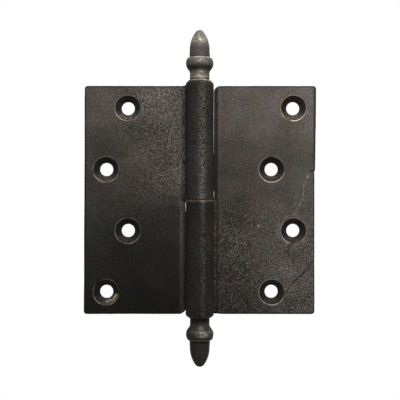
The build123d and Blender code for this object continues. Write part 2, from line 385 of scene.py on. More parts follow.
def keep_fits(points, side):
    """Holds the casting's skin clear of the pin and close to the other knuckle's, both dished alike."""
    radius = np.hypot(points[:, 0], points[:, 1])
    bore_depth, bore_skin = 46 * MM, (radius > 1.5 * MM) & (radius < 3.4 * MM)
    bore = bore_skin & (np.abs(points[:, 2]) < bore_depth)
    grow = np.where(bore, np.maximum(1.0, (BORE_RADIUS + PIN_PLAY) / np.maximum(radius, 0.1 * MM)), 1.0)
    points[:, 0] *= grow
    points[:, 1] *= grow
    height = -side * points[:, 2]
    meeting = (radius < KNUCKLE_RADIUS + 0.3 * MM) & (height < 0.35 * MM)
    reach = 0.09 * MM + 0.26 * MM * rise(radius, 6.95 * MM, 6.6 * MM)
    points[meeting, 2] -= -side * np.minimum(height - MEETING_GAP, reach)[meeting]
    points[meeting, 2] += (MEETING_DISH * rise(radius, KNUCKLE_RADIUS, 5 * MM))[meeting]
    back_edge = bell(np.abs(points[:, 0]), 6.9 * MM, 0.9 * MM) * rise(points[:, 1], 4.6 * MM, 5.6 * MM)
    back_edge *= rise(height, -0.05 * MM, -0.35 * MM)
    opened = tone_down(points[:, 2], UPPER_GAP if side < 0 else LOWER_GAP)
    points[:, 0] -= side * MM * back_edge * (GAP_CLOSED - opened)
    return points


def path_distance(points, path):
    """The shortest distance in the front view from each point to a broken line of x and z in mm."""
    nearest = np.full(len(points), 1.0)
    flat = points[:, [0, 2]]
    for start, end in zip(path, path[1:]):
        start, end = np.array(start) * MM, np.array(end) * MM
        run = end - start
        share = np.clip(((flat - start) @ run) / (run @ run), 0.0, 1.0)
        nearest = np.minimum(nearest, np.linalg.norm(flat - (start + share[:, None] * run), axis=1))
    return nearest


def line_mark(points, path, width):
    """1 on a broken line of the front view and less beside it, with its width in mm."""
    return bell(path_distance(points, path), 0.0, width * MM)


def strongest(*marks):
    """At each point, the strongest of several marks."""
    return np.maximum.reduce(marks)


def tone_down(heights, tones):
    """The value at those heights, such as a tone, from a list of heights in mm and values."""
    levels, shares = zip(*tones)
    return np.interp(heights / MM, levels, shares)


def valley_zone(points, side):
    """1 in the valley between the knuckle and its own half of the plate's edge, on the front."""
    across = np.abs(points[:, 0])
    beside = rise(across, 6.9 * MM, 7.5 * MM) * rise(across, 10.6 * MM, 9.8 * MM)
    return beside * rise(points[:, 1], 4.4 * MM, 3.8 * MM) * (-side * points[:, 2] > 0.6 * MM)


def pitted_patch(points):
    """1 in the pitted patch beside the lower knuckle, falling off round it."""
    across = (points[:, 0] / MM - PITTED_PLACE[0]) / PITTED_REACH[0]
    up = (points[:, 2] / MM - PITTED_PLACE[1]) / PITTED_REACH[1]
    return np.exp(-(across**2) - up**4)


class LeafPlaces:
    """The points of a leaf, and the places on it that its marks go by, each as a mask from 0 to 1."""

    def __init__(self, points, side):
        self.points = points
        self.x, self.y, self.z = x, y, z = points.T
        self.across = across = np.abs(x)
        self.radius = np.hypot(x, y)
        self.soft = 0.5 + 0.5 * unevenness(points, 16 * MM, 61 + side)
        self.medium = 0.5 + 0.5 * unevenness(points, 5 * MM, 71 + side)
        self.knuckle = (self.radius < KNUCKLE_RADIUS + 0.4 * MM).astype(float)
        self.free = rise(side * z, -0.5 * MM, 1.5 * MM)
        self.floor = valley_zone(points, side)
        self.inner_band = bell(across, CREASE_X + 0.4 * MM, 0.9 * MM) * rise(y, 4.5 * MM, 2.0 * MM)
        lip = bell(across, CREASE_X - 0.1 * MM, 0.4 * MM)
        self.lip = lip * rise(y, 3.2 * MM, 2.0 * MM) * self.free
        self.front = rise(y, *FRONT_RELIEF)
        self.outward = rise(across, 14 * MM, 48 * MM)
        # A painted sheen: the vertical highlight down the front of each knuckle
        middle, width = (1.2 * MM, 1.7 * MM) if side < 0 else (1.6 * MM, 1.1 * MM)
        self.knuckle_sheen = bell(x, middle, width) * rise(y, 0.0, -2 * MM)

    def plate_tone(self, inner, outer):
        """How bright the plate is, from the lists for its inner and its outer side."""
        return tone_down(self.z, inner) * (1.0 - self.outward) + tone_down(self.z, outer) * self.outward


def upper_leaf_marks(at):
    """The upper leaf's tone with its painted light and shade, and its coarse, rusted and rubbed places with
    their painted highlights.
    """
    y, z = at.y, at.z
    tone = at.plate_tone(UPPER_INNER_TONE, UPPER_OUTER_TONE)
    # Painted light: lighter in the band beside the crease, along its lip and on the valley's floor, where
    # the light falls
    tone = tone * (1.0 + 0.5 * at.inner_band * at.free) + 0.35 * at.lip + 0.1 * at.floor
    # Painted light on the steep wall of the hollow, which the lamps leave dark
    steep_wall_light = rise(at.across, CREASE_X - 0.1 * MM, 8.1 * MM) * at.free
    tone = tone * (1.0 + 4.0 * steep_wall_light * rise(y, BACK_Y, BACK_Y - 0.6 * MM))
    # The knuckle is darker, with its painted sheen down the front
    tone = np.where(at.knuckle > 0, 0.26 + 0.34 * at.knuckle_sheen, tone) * (0.85 + 0.3 * at.soft)
    coarse = 0.25 + 0.8 * rise(at.across, 46 * MM, 18 * MM) * rise(z, -30 * MM, 20 * MM)
    coarse += 0.22 * at.outward
    tan = line_mark(at.points, TAN_STREAK, 0.75) * (y < 5 * MM)
    rusted = strongest(0.2 * rise(at.medium, 0.6, 0.9), tan)
    # The seat ring's front is painted bright, partly as wear and partly as a painted highlight
    seat_ring = bell(at.radius, SEAT_RADIUS + 0.35 * MM, 0.55 * MM) * (z > UPPER_SEAT_ZONE)
    wear_and_highlight = strongest(
        0.3 * at.lip * rise(z, -56 * MM, -8 * MM),
        # Painted glints along the upper knuckle's sheen
        0.5 * at.knuckle_sheen * at.knuckle * rise(z, 22 * MM, 2 * MM) * (z > 0) * at.medium,
        1.5 * seat_ring * rise(y, 2 * MM, -3 * MM) * (0.75 + 0.25 * at.medium),
        1.5 * tan,
    )
    return tone, coarse, rusted, wear_and_highlight


def lower_leaf_marks(at):
    """The lower leaf's tone with its painted light and shade, and its coarse, rusted and rubbed places with
    their painted highlights.
    """
    points, x, y, z = at.points, at.x, at.y, at.z
    rubbed_x, rubbed_z = hole_centres(1)[1]
    halo = bell(np.hypot(x - rubbed_x, z - rubbed_z), COUNTERSINK_RADIUS + 1.2 * MM, 1.3 * MM)
    blotch = 0.5 + 0.5 * unevenness(points, 8 * MM, 77)
    # Painted light: a little lighter in the band beside the crease
    tone = at.plate_tone(LOWER_INNER_TONE, LOWER_OUTER_TONE) * (1.0 + 0.2 * at.inner_band)
    tone = tone * (1.0 + 0.3 * halo) * (0.82 + 0.36 * blotch)
    # Painted sheen on the knuckle: its highlight down the front, brighter near the top, its right side a
    # little lighter, and a bright line along its top edge under the seam
    painted_sheen = 0.2 * at.knuckle_sheen * (0.9 + 1.0 * rise(z, -14 * MM, -2 * MM))
    painted_sheen += 0.04 * rise(x, 2.5 * MM, 6 * MM) + 0.2 * bell(z, -0.6 * MM, 0.4 * MM)
    tone = np.where(at.knuckle > 0, 0.21 + painted_sheen, tone) * (0.85 + 0.3 * at.soft)
    coarse = 0.45 + 0.75 * rise(z, 15 * MM, -25 * MM)
    coarse = coarse * (0.85 + 0.15 * rise(x, 40 * MM, 15 * MM)) + 0.5 * pitted_patch(points)
    # The rim under the seam is rust-coloured, and painted bright where the knuckle's sheen crosses it
    seam_rim = bell(z, -0.6 * MM, 0.36 * MM) * at.knuckle * rise(y, 0.0, -4 * MM)
    rusted = strongest(
        0.4 * bell(x, 6.8 * MM, 1.2 * MM) * (y < 4 * MM) * rise(z, 12 * MM, 4 * MM),
        0.35 * rise(at.medium, 0.55, 0.9),
        0.2 * line_mark(points, CRACK_TAIL, 1.8) * at.medium,
        seam_rim,
    )
    wear_and_highlight = strongest(
        0.3 * at.lip,
        0.9 * line_mark(points, CRACK_BRIGHT, 0.3) * at.front,
        0.9 * line_mark(points, CRACK_TAIL[2:], 0.3) * at.front * (0.2 + 0.8 * at.medium),
        seam_rim * (0.05 + 0.7 * at.knuckle_sheen),
        0.35 * bell(at.radius, SEAT_RADIUS, 0.4 * MM) * (z < LOWER_SEAT_ZONE),
        1.5 * line_mark(points, BRIGHT_SPECK, 0.4) * at.front,
    )
    return tone, coarse, rusted, wear_and_highlight


def store_leaf_marks(mesh, side):
    """Keeps the leaf's tone with its painted light, its coarse and rusted places, its rubbed places and
    painted highlights, and its dirt and painted shade on its mesh.
    """
    at = LeafPlaces(points_of(mesh), side)
    stand = standing_out(mesh)
    # Painted shade: darker along the plate's outer edges, in the hollow beside the other knuckle, in low
    # places and along the seam between the knuckles
    edge = np.maximum(at.across - LEAF_WIDTH, np.abs(at.z) - PLATE_TOP) + 1.25 * MM
    edge_shade = rise(edge, 0.0, 0.8 * MM) * (1.0 - at.knuckle)
    behind_knuckle_shade = rise(at.radius, 9.75 * MM, 9.35 * MM) * (1.0 - at.knuckle)
    behind_knuckle_shade *= rise(at.y, 1.7 * MM, 2.6 * MM)
    behind_knuckle_shade *= 0.1 + 0.9 * at.free * rise(at.across, 7.7 * MM, 7.2 * MM)
    seam_height, seam_reach = (0.2 * MM, 0.65 * MM) if side < 0 else (0.0, 0.28 * MM)
    knuckle_gap_shade = bell(at.z, seam_height, seam_reach) * (at.radius < KNUCKLE_RADIUS + 0.6 * MM)
    tone, coarse, rusted, wear_and_highlight = upper_leaf_marks(at) if side < 0 else lower_leaf_marks(at)
    wear_and_highlight = strongest(wear_and_highlight, 0.3 * rise(stand, 0.05 * MM, 0.16 * MM) * (1.0 - edge_shade))
    dip_shade = rise(-stand, 0.03 * MM, 0.13 * MM) * (1.0 - at.floor)
    shade_and_dirt_marks = strongest(0.95 * edge_shade, 0.75 * behind_knuckle_shade, dip_shade, 1.1 * knuckle_gap_shade)
    for path, width, strength in DARK_LINES if side > 0 else ():
        shade_and_dirt_marks = strongest(shade_and_dirt_marks, strength * line_mark(at.points, path, width) * at.front)
    # More painted glints in the grain along the knuckle's sheen
    sparkle = (1.1 if side < 0 else 0.6) * at.knuckle_sheen * at.knuckle
    store(mesh, "tone", tone)
    store(mesh, "coarse", np.clip(coarse * (1.0 - 0.4 * at.knuckle) + sparkle, 0.2, 1.9))
    store(mesh, "wear_and_highlight", np.clip(wear_and_highlight, 0.0, 1.5))
    store(mesh, "shade_and_dirt_marks", np.clip(shade_and_dirt_marks, 0.0, 1.0))
    store(mesh, "rusted", np.clip(rusted, 0.0, 1.0))


def finer_near(mesh, path, reach):
    """Cuts the skin's cells smaller close to a line on the front face."""
    skin = bmesh.new()
    skin.from_mesh(mesh)
    skin.verts.ensure_lookup_table()
    points = np.array([vertex.co for vertex in skin.verts])
    close = (path_distance(points, path) < reach) & (points[:, 1] < 3.5 * MM)
    edges = [edge for edge in skin.edges if close[edge.verts[0].index] and close[edge.verts[1].index]]
    bmesh.ops.subdivide_edges(skin, edges=edges, cuts=2, use_grid_fill=True)
    skin.to_mesh(mesh)
    skin.free()


def cast_leaf(node, name, side, form):
    """One leaf with the skin of a sand casting, worn soft at its edges."""
    mesh = leaf_skin(node, name, form.skin)
    points = points_of(mesh)
    for _ in range(form.softening):
        points = points + 0.5 * (neighbour_mean(mesh, points) - points)
    valley = valley_zone(points, side)[:, None]
    for _ in range(4 * form.softening):
        points = points + 0.6 * valley * (neighbour_mean(mesh, points) - points)
    move_points(mesh, points)
    if side > 0:
        finer_near(mesh, CRACK_PATH, 1.4 * MM)
        points = points_of(mesh)
    normals = vertex_rows(mesh, "normal")
    depth = form.warp * unevenness(points, 17 * MM, 3 + side)
    depth += 0.35 * form.warp * unevenness(points, 5.5 * MM, 13 + side)
    depth += form.grain * unevenness(points, 1.3 * MM, 23 + side)
    if side > 0:
        rough = rise(points[:, 2], 5 * MM, -25 * MM) * rise(points[:, 0], 45 * MM, 13 * MM)
        pits = np.abs(unevenness(points, 2.1 * MM, 29)) + 0.6 * unevenness(points, 1.1 * MM, 30)
        depth += 2.2 * form.grain * rough * (pits - 0.3)
        front = rise(points[:, 1], *FRONT_RELIEF)
        deep = rise(unevenness(points, 1.5 * MM, 31), 0.1, 0.45)
        depth -= 4.5 * form.grain * pitted_patch(points) * front * deep
        for path, width, deepest in GROOVES:
            depth -= deepest * MM * line_mark(points, path, width) * front
    points = points + normals * (depth * away_from_fits(points, side))[:, None]
    move_points(mesh, keep_fits(points, side))
    store_leaf_marks(mesh, side)
    smooth_shade(mesh)
    return new_piece(name, mesh)


def arc_points(centre, radius, start, end, step):
    """Points along an arc, as radius and height, with angles in radians."""
    count = max(2, math.ceil(abs(end - start) * radius / step))
    x, z = centre
    angles = [start + (end - start) * index / count for index in range(count + 1)]
    return [(x + radius * math.cos(angle), z + radius * math.sin(angle)) for angle in angles]


def line_points(start, end, step):
    """Points along a straight run, as radius and height."""
    count = max(1, math.ceil(math.dist(start, end) / step))
    return [
        (start[0] + (end[0] - start[0]) * index / count, start[1] + (end[1] - start[1]) * index / count)
        for index in range(count + 1)
    ]


def run_points(corners, step):
    """Points along a run of straight lines, as radius and height."""
    points = corners[:1]
    for start, end in zip(corners, corners[1:]):
        points += line_points(start, end, step)[1:]
    return points


def lathe(name, profile, segments):
    """A turned mesh from a profile of radius and height that starts and ends on the axis."""
    mesh = bpy.data.meshes.new(name)
    turning = bmesh.new()
    rings = []
    for radius, height in profile:
        if radius < TOUCHING:
            rings.append([turning.verts.new((0.0, 0.0, height))])
            continue
        ring = []
        for index in range(segments):
            angle = math.tau * index / segments
            ring.append(turning.verts.new((radius * math.cos(angle), radius * math.sin(angle), height)))
        rings.append(ring)
    for lower, upper in zip(rings, rings[1:]):
        for index in range(segments):
            after = (index + 1) % segments
            corners = [lower[index % len(lower)], lower[after % len(lower)]]
            corners += [upper[after % len(upper)], upper[index % len(upper)]]
            corners = list(dict.fromkeys(corners))
            turning.faces.new(corners)
    bmesh.ops.recalc_face_normals(turning, faces=turning.faces)
    turning.to_mesh(mesh)
    turning.free()
    smooth_shade(mesh)
    return mesh


def tip_profile(step, acorn_shoulder, nose_arc):
    """The acorn tip's profile from its seat to its nose, with a plain shank below."""
    shank, shank_length, hidden_step = 2.95 * MM, 8.9 * MM, 1 * MM
    seat_gap, chamfer = 0.02 * MM, 0.25 * MM
    neck, cove_radius = 4.9 * MM, 2.5 * MM
    bulb, bulb_arc, bulb_height, bulb_top = 6.88 * MM, 4.8 * MM, 8.05 * MM, 10.7 * MM
    acorn, acorn_foot, acorn_base = 4.97 * MM, 5.15 * MM, 11.35 * MM
    ogive_arc = 14.5 * MM
    bulb_x = bulb - bulb_arc
    cove_x = neck + cove_radius
    reach = bulb_arc + cove_radius
    neck_end = bulb_height - math.sqrt(reach**2 - (cove_x - bulb_x) ** 2)
    lean = math.atan2(bulb_height - neck_end, cove_x - bulb_x)
    ogive_x = acorn - ogive_arc
    nose_z = acorn_shoulder + math.sqrt((ogive_arc - nose_arc) ** 2 - ogive_x**2)
    nose_lean = math.atan2(nose_z - acorn_shoulder, -ogive_x)
    profile = run_points([(0, -shank_length), (shank, -shank_length), (shank, seat_gap)], hidden_step)
    profile += line_points((shank, seat_gap), (neck - chamfer, seat_gap), step)[1:]
    profile += line_points((neck, chamfer), (neck, neck_end), step)
    profile += arc_points((cove_x, neck_end), cove_radius, math.pi, math.pi - lean, step)[1:]
    bulb_lean = math.asin((bulb_top - bulb_height) / bulb_arc)
    profile += arc_points((bulb_x, bulb_height), bulb_arc, -lean, bulb_lean, step)[1:]
    foot_start, foot_top = (acorn_foot - chamfer, acorn_base - 0.1 * MM), acorn_base + 0.3 * MM
    profile += line_points(foot_start, (acorn_foot, foot_top), 0.15 * MM)
    profile += line_points((acorn_foot, foot_top), (acorn, acorn_shoulder), step)[1:]
    profile += arc_points((ogive_x, acorn_shoulder), ogive_arc, 0.0, nose_lean, step)[1:]
    profile += arc_points((0, nose_z), nose_arc, nose_lean, math.pi / 2, step)[1:-1]
    profile.append((0, nose_z + nose_arc))
    return profile


def tip_wear_and_highlights(height, turn, patchy, rubs):
    """The strongest of the rubbed places and painted highlights that are listed for a tip."""
    marks = []
    for up, reach, aside, wide, strength, broken in rubs:
        mark = strength * bell(height, up * MM, reach * MM) * bell(turn, aside, wide)
        marks.append(mark * (1.0 - broken + broken * patchy))
    return strongest(*marks)


def store_tip_marks(mesh, side):
    """Keeps a tip's tone with its painted shade, its rubbed places and painted highlights, and the painted
    shade in its low places and at its joint, before it is set on its knuckle.
    """
    points = points_of(mesh)
    height = points[:, 2]
    turn = np.arctan2(points[:, 0], -points[:, 1])
    patchy = 0.5 + 0.5 * unevenness(points, 2.4 * MM, 81 + side)
    stand = standing_out(mesh)
    # On the upper tip the ring at the bulb's top, which faces up to the light, and the nose are partly
    # rubbed bare and partly painted highlights
    ring = bell(height, 10.5 * MM, 0.5 * MM)
    if side < 0:
        nose = 0.72 * rise(height, 15.2 * MM, 20.3 * MM) * (0.7 + 0.3 * patchy)
        nose *= 1.0 - 0.35 * rise(height, 21 * MM, 22.5 * MM)
        ring = ring * (0.62 + 0.38 * patchy)
        wear_and_highlight = strongest(nose, ring, tip_wear_and_highlights(height, turn, patchy, UPPER_TIP_WEAR_AND_HIGHLIGHTS))
        tone = (0.82 - 0.19 * rise(height, 11 * MM, 12 * MM)) * (0.85 + 0.3 * patchy)
        # Painted shade under the bulb
        tone *= 1.0 - 0.72 * bell(height, 5.7 * MM, 1.3 * MM)
    else:
        ring = 0.2 * ring * (0.5 + 0.5 * patchy)
        wear_and_highlight = strongest(ring, tip_wear_and_highlights(height, turn, patchy, LOWER_TIP_WEAR_AND_HIGHLIGHTS))
        tone = (0.40 - 0.10 * rise(height, 10.9 * MM, 11.4 * MM)) * (0.85 + 0.3 * patchy)
        # Painted shade: darker on the neck under the knuckle, on the left side, on the bulb's underside and
        # at the nose, which faces down
        tone *= 1.0 - 0.5 * rise(height, 3.2 * MM, 1.6 * MM)
        tone *= 1.0 - 0.3 * rise(turn, 0.3, 0.9)
        tone *= 1.0 - 0.45 * bell(height, 9.5 * MM, 0.6 * MM) - 0.4 * rise(height, 21 * MM, 23 * MM)
    # Painted shade in the tip's low places and along its joint with the knuckle
    shade_and_dirt_marks = strongest(rise(-stand, 0.004 * MM, 0.03 * MM), bell(height, 0.2 * MM, 0.42 * MM))
    store(mesh, "wear_and_highlight", np.clip(wear_and_highlight, 0.0, 1.5))
    store(mesh, "shade_and_dirt_marks", np.clip(shade_and_dirt_marks, 0.0, 1.0))
    store(mesh, "tone", tone)


def turn_tip(name, side, form):
    """One acorn tip on its knuckle's end, worn a little out of round. Side is -1 for the upper tip."""
    if side < 0:
        shoulder, nose_arc, seat = 15.0 * MM, 2.4 * MM, LEAF_HIGH.z
    else:
        shoulder, nose_arc, seat = 14.65 * MM, 2.8 * MM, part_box("lower_leaf")[0].z
    mesh = lathe(name, tip_profile(form.step, shoulder, nose_arc), form.segments)
    store_tip_marks(mesh, side)
    points = points_of(mesh)
    normals = vertex_rows(mesh, "normal")
    shown = rise(points[:, 2], 0.1 * MM, 0.8 * MM)
    depth = form.wobble * unevenness(points, 4.5 * MM, 31 + side)
    depth += 0.4 * form.wobble * unevenness(points, 1.1 * MM, 41 + side)
    points = points + normals * ((depth - 0.4 * form.wobble) * shown)[:, None]
    if side > 0:
        points = points * np.array([-1.0, 1.0, -1.0])
    points[:, 2] += seat
    move_points(mesh, points)
    return new_piece(name, mesh)


def turn_pin(form):
    """The plain pin, rounded at its nose, with shallow rust pits."""
    low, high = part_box("hinge_pin")
    radius, nose, chamfer = high.x, 1.1 * MM, 0.5 * MM
    step = 2 * form.step
    corners = [(0, low.z), (radius - chamfer, low.z), (radius, low.z + chamfer), (radius, high.z - nose)]
    profile = run_points(corners, step)
    profile += arc_points((radius - nose, high.z - nose), nose, 0.0, math.pi / 2, form.step)[1:]
    profile += line_points((radius - nose, high.z), (0, high.z), 2 * step)[1:]
    mesh = lathe("hinge_pin_steel", profile, form.segments // 2)
    points = points_of(mesh)
    nose_rim = bell(points[:, 2], high.z - 0.55 * MM, 0.35 * MM)
    store(mesh, "wear_and_highlight", nose_rim * (0.6 + 0.6 * unevenness(points, 1.6 * MM, 53)))
    pits = unevenness(points, 2.2 * MM, 51) + 0.6 * unevenness(points, 0.9 * MM, 52)
    pit_depth = 0.03 * MM
    depth = pit_depth * np.clip(pits + 0.4, 0.0, 1.0)
    move_points(mesh, points - vertex_rows(mesh, "normal") * depth[:, None])
    return new_piece("hinge_pin_steel", mesh)


class Wire:
    """A node's output. A sum of wires and numbers adds the node that works it out."""

    def __init__(self, board, socket):
        self.board = board
        self.socket = socket

    def __add__(self, other):
        return self.board.maths("ADD", self, other)

    def __sub__(self, other):
        return self.board.maths("SUBTRACT", self, other)

    def __rsub__(self, other):
        return self.board.maths("SUBTRACT", other, self)

    def __mul__(self, other):
        return self.board.maths("MULTIPLY", self, other)

    def __truediv__(self, other):
        return self.board.maths("DIVIDE", self, other)

    __radd__ = __add__
    __rmul__ = __mul__


class Outputs:
    """A node's outputs as wires, by name or number."""

    def __init__(self, board, node):
        self.board = board
        self.node = node

    def __getitem__(self, name):
        return Wire(self.board, self.node.outputs[name])


class Board:
    """Adds nodes to a node tree, each with its settings, values and links in one call."""

    def __init__(self, tree):
        self.tree = tree

    def add(self, kind, inputs=None, **settings):
        """The outputs of a new node, whose settings are made before its inputs are filled or linked."""
        node = self.tree.nodes.new(kind)
        for name, value in settings.items():
            setattr(node, name, value)
        for name, value in (inputs or {}).items():
            if isinstance(value, Wire):
                self.tree.links.new(value.socket, node.inputs[name])
            else:
                node.inputs[name].default_value = value
        return Outputs(self, node)

    def maths(self, operation, first, second=0.0):
        """One sum on one or two values."""
        return self.add("ShaderNodeMath", {0: first, 1: second}, operation=operation)[0]

    def most(self, first, second):
        """The larger of the two values."""
        return self.maths("MAXIMUM", first, second)

    def vector(self, operation, first, second):
        """One sum on two vectors or colours."""
        return self.add("ShaderNodeVectorMath", {0: first, 1: second}, operation=operation)[0]

    def rise(self, value, low, high):
        """0 below low, 1 above high and a smooth rise between."""
        inputs = {"Value": value, "From Min": low, "From Max": high}
        return self.add("ShaderNodeMapRange", inputs, interpolation_type="SMOOTHSTEP")["Result"]

    def noise(self, vector, scale, detail=2.0, roughness=0.5):
        """Noise at so many features a metre."""
        inputs = {"Vector": vector, "Scale": scale, "Detail": detail, "Roughness": roughness}
        return self.add("ShaderNodeTexNoise", inputs)["Fac"]

    def blend(self, share, first, second):
        """The first colour where share is 0 and the second where it is 1."""
        inputs = {0: share}
        for name, colour in ((6, first), (7, second)):
            inputs[name] = colour if isinstance(colour, Wire) else (*colour, 1.0)
        return self.add("ShaderNodeMix", inputs, data_type="RGBA")[2]

    def scale(self, colour, value):
        """A colour, brighter or darker by that value."""
        start = colour if isinstance(colour, Wire) else tuple(colour)
        return self.add("ShaderNodeVectorMath", {0: start, "Scale": value}, operation="SCALE")[0]

    def attribute(self, name):
        """A number kept on the mesh."""
        return self.add("ShaderNodeAttribute", attribute_name=name)["Fac"]

    def group(self, tree, inputs):
        """A shared effect, placed with its own values."""
        return self.add("ShaderNodeGroup", inputs, node_tree=tree)


def start_group(name, numbers, results):
    """An empty shader group with a vector and those numbers as inputs. Gives its board and its sockets."""
    tree = bpy.data.node_groups.new(name, "ShaderNodeTree")
    tree.interface.new_socket("Vector", in_out="INPUT", socket_type="NodeSocketVector")
    for socket in numbers:
        tree.interface.new_socket(socket, in_out="INPUT", socket_type="NodeSocketFloat")
    for socket in results:
        tree.interface.new_socket(socket, in_out="OUTPUT", socket_type="NodeSocketFloat")
    board = Board(tree)
    return board, board.add("NodeGroupInput"), board.add("NodeGroupOutput").node.inputs


def finish_group(board, sockets, results):
    """Links each result to its output socket and gives the finished group."""
    for name, result in results.items():
        board.tree.links.new(result.socket, sockets[name])
    return board.tree


def sand_grain():
    """Group: the sand's grain on a casting, as heights, a shade round 1, and glints."""
    numbers = ("Grains a Metre", "Coarse")
    board, given, sockets = start_group("Sand grain", numbers, ("Height", "Shade", "Glint"))
    fine = board.noise(given["Vector"], given["Grains a Metre"], 1.0, 0.5)
    broad = board.noise(given["Vector"], given["Grains a Metre"] * 0.45, 1.0, 0.5)
    height = fine * 0.75 + broad * 0.25
    swing = (height - 0.5) * 5.0
    shade = swing * given["Coarse"] + 1.0
    shade = board.maths("MINIMUM", board.most(shade, 0.25), 2.6)
    glint = board.rise(fine, 0.66, 0.76) * given["Coarse"]
    return finish_group(board, sockets, {"Height": height, "Shade": shade, "Glint": glint})


def tarnish():
    """Group: slow changes of tone and patches of brown over old iron."""
    board, given, sockets = start_group("Tarnish", ("Seed",), ("Tone", "Brown", "Warm"))
    shift = board.add("ShaderNodeCombineXYZ", {"X": given["Seed"], "Z": given["Seed"]})[0]
    place = board.vector("ADD", given["Vector"], shift)
    slow, patches, tints, specks = 34.0, 62.0, 85.0, 420.0
    tone = board.noise(place, slow, 4.0, 0.62)
    blotch = board.noise(place, patches, 3.0, 0.6)
    spread = board.noise(place, specks, 2.0, 0.6)
    brown = board.rise(blotch + spread * 0.25, 0.66, 0.86)
    warm = board.rise(board.noise(place, tints, 4.0, 0.65), 0.38, 0.62)
    return finish_group(board, sockets, {"Tone": board.rise(tone, 0.3, 0.7), "Brown": brown, "Warm": warm})


def ring_rim():
    """Group: a ring round a point of the front face, such as a countersink's rim, and its inside."""
    numbers = ("Centre X", "Centre Z", "Radius", "Width")
    board, given, sockets = start_group("Ring rim", numbers, ("Rim", "Inside", "Below", "Aside"))
    place = board.add("ShaderNodeSeparateXYZ", {"Vector": given["Vector"]})
    across = place["X"] - given["Centre X"]
    up = place["Z"] - given["Centre Z"]
    square = across * across + up * up
    past = board.maths("SQRT", square) - given["Radius"]
    distance = board.maths("ABSOLUTE", past) / given["Width"]
    rim = 1.0 - board.rise(distance, 0.3, 1.0)
    inside = 1.0 - board.rise(past / given["Width"], -1.0, 0.0)
    below = up / given["Radius"] * -1.0
    aside = across / given["Radius"]
    return finish_group(board, sockets, {"Rim": rim, "Inside": inside, "Below": below, "Aside": aside})


def new_material(name):
    """A material with its board, its Principled shader and its object coordinates."""
    material = bpy.data.materials.new(name)
    material.use_nodes = True
    shader = material.node_tree.nodes["Principled BSDF"]
    board = Board(material.node_tree)
    place = board.add("ShaderNodeTexCoord")["Object"]
    return material, board, shader, place


def feed(board, shader, **results):
    """Links colours, masks and normals to the shader."""
    for name, result in results.items():
        board.tree.links.new(result.socket, shader.inputs[name.replace("_", " ")])


def iron_skin(board, place, groups, finish, black, colour, seed, grains, coarse):
    """The blackened skin that all the cast and turned iron shares, with its grain, its tone with painted
    light and shade, and painted glints.
    """
    grain = board.group(groups["Sand grain"], {"Vector": place, "Grains a Metre": grains, "Coarse": coarse})
    age = board.group(groups["Tarnish"], {"Vector": place, "Seed": seed})
    stored = board.attribute("tone")
    # Where the tone is low, painted shade included, the skin takes the black tint
    hue = board.blend(board.rise(stored, 0.15, 0.6), black, colour)
    hue = board.blend(age["Brown"] * 0.2, hue, finish.rust)
    tint = board.blend(age["Warm"], OLIVE_TINT, PURPLE_TINT)
    hue = board.vector("MULTIPLY", hue, tint)
    tone = age["Tone"] * 0.44 + 0.78
    tone = tone * stored * grain["Shade"]
    # Painted glints: the grain's tops are painted in bare iron's colour, brighter where the tone is lighter
    glint = grain["Glint"] * (stored * 0.5)
    return board.blend(glint, board.scale(hue, tone), finish.bare_iron), grain, tone


def finish_metal(board, shader, grain, strength, distance, **results):
    """Links the finish and the grain's bump to the shader, and dulls its reflection."""
    inputs = {"Height": grain["Height"], "Strength": strength, "Distance": distance}
    bump = board.add("ShaderNodeBump", inputs)[0]
    feed(board, shader, Normal=bump, **results)
    shader.inputs["Specular Tint"].default_value = EDGE_TINT
    shader.inputs["Specular IOR Level"].default_value = OXIDE_REFLECTION


def countersinks(board, place, ring_group, side, arcs):
    """Masks of a leaf's countersinks: rims rubbed bare and painted with a highlight, insides, painted light
    on the lower walls, and painted shade in the bores.
    """
    rim_wear_and_highlight = insides = lower_wall_light = bore_shade = 0.0
    rim_strength = 1.0 if side < 0 else 1.6
    for (x, z), wall_light_level in zip(hole_centres(side), UPPER_WALL_LIGHT if side < 0 else LOWER_WALL_LIGHT):
        values = {"Vector": place, "Centre X": x, "Centre Z": z, "Width": 0.3 * MM}
        ring = board.group(ring_group, {**values, "Radius": COUNTERSINK_RADIUS + 0.15 * MM})
        # The rims are rubbed bare and also painted as a highlight, brighter at the bottom, which faces the
        # light, and dimmer on the right
        low = board.rise(ring["Below"], -0.1, 0.8) * 0.22 + 0.2 - board.rise(ring["Aside"], 0.3, 0.95) * 0.1
        rim_wear_and_highlight = board.most(rim_wear_and_highlight, ring["Rim"] * arcs * rim_strength * low)
        insides = board.most(insides, ring["Inside"])
        # Painted light on the lower wall, which faces up to the light
        lit = ring["Inside"] * board.rise(ring["Below"], 0.1, 0.8)
        lower_wall_light = board.most(lower_wall_light, lit * wall_light_level)
        # Painted shade down each screw hole's bore
        bore = board.group(ring_group, {**values, "Radius": HOLE_RADIUS + 0.3 * MM})
        bore_shade = board.most(bore_shade, bore["Inside"])
    return rim_wear_and_highlight, insides, lower_wall_light, bore_shade


